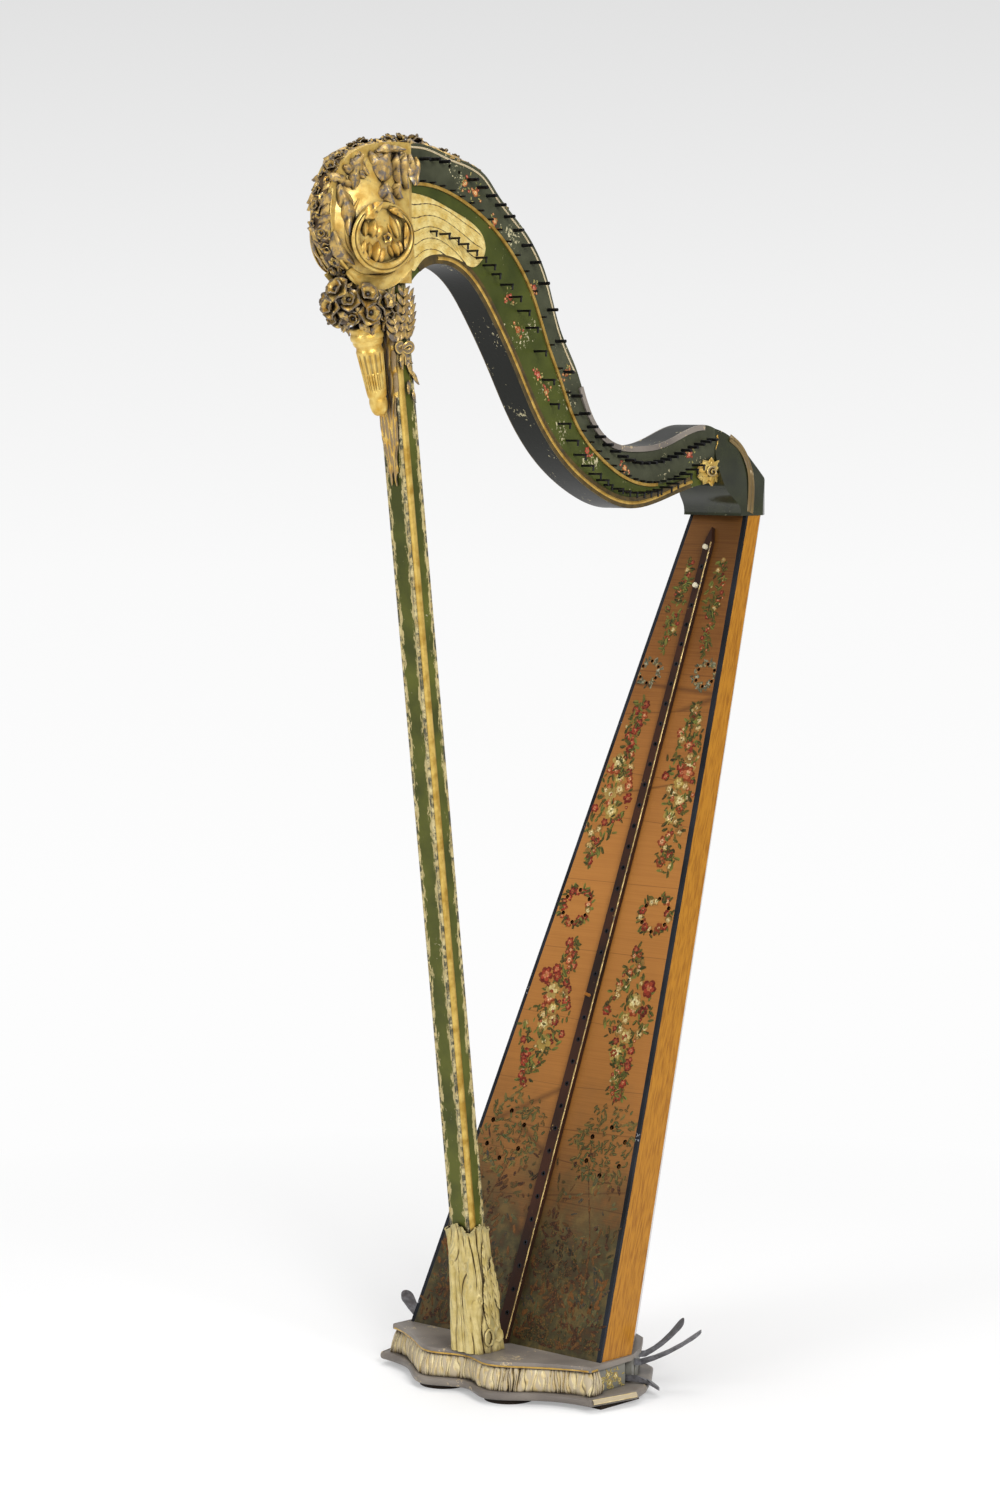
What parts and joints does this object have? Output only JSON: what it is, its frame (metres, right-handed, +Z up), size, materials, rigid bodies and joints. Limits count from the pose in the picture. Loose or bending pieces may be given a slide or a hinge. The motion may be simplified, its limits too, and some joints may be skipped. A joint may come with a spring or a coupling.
{
  "type": "pedal harp",
  "caption": "Single-action pedal harp: hollow column, scroll head, curved neck with pins and hooks, tapering staved soundbox and serpentine pedal base.",
  "frame": {"origin": "on the floor in the mid-plane, under the foot of the soundboard", "axes": "+Z up; +X from the column towards the player; -Y is the player's left, the stringed side"},
  "size_m": [0.8558, 0.466, 1.6299],
  "materials": {
    "green_paint": "aged satin paint over wood",
    "gilding": "worn water gilding",
    "pale_gilding": "pale worn gilding over gesso",
    "grey_paint": "worn grey paint",
    "dark_wood": "dark stained wood",
    "soundboard_varnish": "varnished spruce with painted decoration",
    "orange_varnish": "glossy orange varnish",
    "black_edging": "black edging",
    "bare_wood": "bare inner wood",
    "black_iron": "blackened iron",
    "grey_iron": "worn grey iron"
  },
  "bodies": {
    "harp": {"front_feet": "dark_wood", "sole_board": "dark_wood", "plinth": "grey_paint", "front_rim": "pale_gilding", "base_casing": "grey_paint", "deck": "grey_paint", "column_shaft": "green_paint", "column_sleeve": "pale_gilding", "console": "gilding", "bouquet": "gilding", "soundboard": "soundboard_varnish", "board_binding": "black_edging", "string_bar": "soundboard_varnish", "inner_bar": "bare_wood", "side_staves": "orange_varnish", "back_staves": "orange_varnish", "foot_block": "bare_wood", "top_block": "bare_wood", "box_ribs": "bare_wood", "string_pegs": "black_iron", "neck_body": "green_paint", "neck_cover": "green_paint", "intrados_band": "gilding", "gilt_fillet": "gilding", "edge_bead": "grey_paint", "shoulder_block": "green_paint", "head_scroll": "gilding", "volutes": "gilding", "flower_crest": "gilding", "shoulder_rosettes": "gilding", "tuning_pins": "black_iron", "nut_pins": "black_iron", "pedal_brackets": "grey_iron", "pivot_pins": "grey_iron", "pedal_springs": "grey_iron"},
    "pedal_d": {"pedal_d": "grey_iron"},
    "rod_d": {"rod_d": "grey_iron"},
    "hooks_d": {"hooks_d": "black_iron"},
    "pedal_c": {"pedal_c": "grey_iron"},
    "rod_c": {"rod_c": "grey_iron"},
    "hooks_c": {"hooks_c": "black_iron"},
    "pedal_b": {"pedal_b": "grey_iron"},
    "rod_b": {"rod_b": "grey_iron"},
    "hooks_b": {"hooks_b": "black_iron"},
    "pedal_e": {"pedal_e": "grey_iron"},
    "rod_e": {"rod_e": "grey_iron"},
    "hooks_e": {"hooks_e": "black_iron"},
    "pedal_f": {"pedal_f": "grey_iron"},
    "rod_f": {"rod_f": "grey_iron"},
    "hooks_f": {"hooks_f": "black_iron"},
    "pedal_g": {"pedal_g": "grey_iron"},
    "rod_g": {"rod_g": "grey_iron"},
    "hooks_g": {"hooks_g": "black_iron"},
    "pedal_a": {"pedal_a": "grey_iron"},
    "rod_a": {"rod_a": "grey_iron"},
    "hooks_a": {"hooks_a": "black_iron"}
  },
  "joints": [
    {"name": "pedal_d_press", "type": "hinge", "parent": "harp", "child": "pedal_d", "pos_m": [-0.01101, -0.06374, 0.031], "axis": [0.8315, 0.5556, 0], "range_deg": [-4.8, 0]},
    {"name": "rod_d_lift", "type": "slide", "parent": "harp", "child": "rod_d", "axis": [-0.1187, 0, 0.9929], "range_m": [-0.00574, 0]},
    {"name": "hooks_d_draw", "type": "slide", "parent": "harp", "child": "hooks_d", "axis": [0, 1, 0], "range_m": [-0.00618, 0]},
    {"name": "pedal_c_press", "type": "hinge", "parent": "harp", "child": "pedal_c", "pos_m": [-0.01291, -0.04349, 0.031], "axis": [0.7666, 0.6421, 0], "range_deg": [0, 4.8], "stiffness_Nm_per_rad": 4, "springref_deg": -22.92},
    {"name": "rod_c_lift", "type": "slide", "parent": "harp", "child": "rod_c", "axis": [-0.1187, 0, 0.9929], "range_m": [0, 0.004]},
    {"name": "hooks_c_draw", "type": "slide", "parent": "harp", "child": "hooks_c", "axis": [0, 1, 0], "range_m": [0, 0.00618]},
    {"name": "pedal_b_press", "type": "hinge", "parent": "harp", "child": "pedal_b", "pos_m": [-0.00309, -0.03419, 0.031], "axis": [0.6367, 0.7711, 0], "range_deg": [0, 4.8], "stiffness_Nm_per_rad": 4, "springref_deg": -22.92},
    {"name": "rod_b_lift", "type": "slide", "parent": "harp", "child": "rod_b", "axis": [-0.1187, 0, 0.9929], "range_m": [0, 0.004]},
    {"name": "hooks_b_draw", "type": "slide", "parent": "harp", "child": "hooks_b", "axis": [0, 1, 0], "range_m": [0, 0.00618]},
    {"name": "pedal_e_press", "type": "hinge", "parent": "harp", "child": "pedal_e", "pos_m": [0.00802, 0.0089, 0.031], "axis": [-0.1934, 0.9811, 0], "range_deg": [0, 4.8], "stiffness_Nm_per_rad": 4, "springref_deg": -22.92},
    {"name": "rod_e_lift", "type": "slide", "parent": "harp", "child": "rod_e", "axis": [-0.1187, 0, 0.9929], "range_m": [0, 0.004]},
    {"name": "hooks_e_draw", "type": "slide", "parent": "harp", "child": "hooks_e", "axis": [0, 1, 0], "range_m": [0, 0.00618]},
    {"name": "pedal_f_press", "type": "hinge", "parent": "harp", "child": "pedal_f", "pos_m": [-0.00309, 0.03419, 0.031], "axis": [-0.6367, 0.7711, 0], "range_deg": [0, 4.8], "stiffness_Nm_per_rad": 4, "springref_deg": -22.92},
    {"name": "rod_f_lift", "type": "slide", "parent": "harp", "child": "rod_f", "axis": [-0.1187, 0, 0.9929], "range_m": [0, 0.004]},
    {"name": "hooks_f_draw", "type": "slide", "parent": "harp", "child": "hooks_f", "axis": [0, 1, 0], "range_m": [0, 0.00618]},
    {"name": "pedal_g_press", "type": "hinge", "parent": "harp", "child": "pedal_g", "pos_m": [-0.01291, 0.04349, 0.031], "axis": [-0.7666, 0.6421, 0], "range_deg": [0, 4.8], "stiffness_Nm_per_rad": 4, "springref_deg": -22.92},
    {"name": "rod_g_lift", "type": "slide", "parent": "harp", "child": "rod_g", "axis": [-0.1187, 0, 0.9929], "range_m": [0, 0.004]},
    {"name": "hooks_g_draw", "type": "slide", "parent": "harp", "child": "hooks_g", "axis": [0, 1, 0], "range_m": [0, 0.00618]},
    {"name": "pedal_a_press", "type": "hinge", "parent": "harp", "child": "pedal_a", "pos_m": [-0.01684, 0.06722, 0.031], "axis": [-0.8842, 0.4672, 0], "range_deg": [0, 4.8], "stiffness_Nm_per_rad": 4, "springref_deg": -22.92},
    {"name": "rod_a_lift", "type": "slide", "parent": "harp", "child": "rod_a", "axis": [-0.1187, 0, 0.9929], "range_m": [0, 0.00574]},
    {"name": "hooks_a_draw", "type": "slide", "parent": "harp", "child": "hooks_a", "axis": [0, 1, 0], "range_m": [0, 0.00618]}
  ],
  "couplings": [
    {"joint": "rod_d_lift", "follows": "pedal_d_press", "m_per_rad": 0.06647},
    {"joint": "hooks_d_draw", "follows": "pedal_d_press", "m_per_rad": 0.07162},
    {"joint": "rod_c_lift", "follows": "pedal_c_press", "m_per_rad": 0.046327},
    {"joint": "hooks_c_draw", "follows": "pedal_c_press", "m_per_rad": 0.07162},
    {"joint": "rod_b_lift", "follows": "pedal_b_press", "m_per_rad": 0.046327},
    {"joint": "hooks_b_draw", "follows": "pedal_b_press", "m_per_rad": 0.07162},
    {"joint": "rod_e_lift", "follows": "pedal_e_press", "m_per_rad": 0.046327},
    {"joint": "hooks_e_draw", "follows": "pedal_e_press", "m_per_rad": 0.07162},
    {"joint": "rod_f_lift", "follows": "pedal_f_press", "m_per_rad": 0.046327},
    {"joint": "hooks_f_draw", "follows": "pedal_f_press", "m_per_rad": 0.07162},
    {"joint": "rod_g_lift", "follows": "pedal_g_press", "m_per_rad": 0.046327},
    {"joint": "hooks_g_draw", "follows": "pedal_g_press", "m_per_rad": 0.07162},
    {"joint": "rod_a_lift", "follows": "pedal_a_press", "m_per_rad": 0.06647},
    {"joint": "hooks_a_draw", "follows": "pedal_a_press", "m_per_rad": 0.07162}
  ]
}
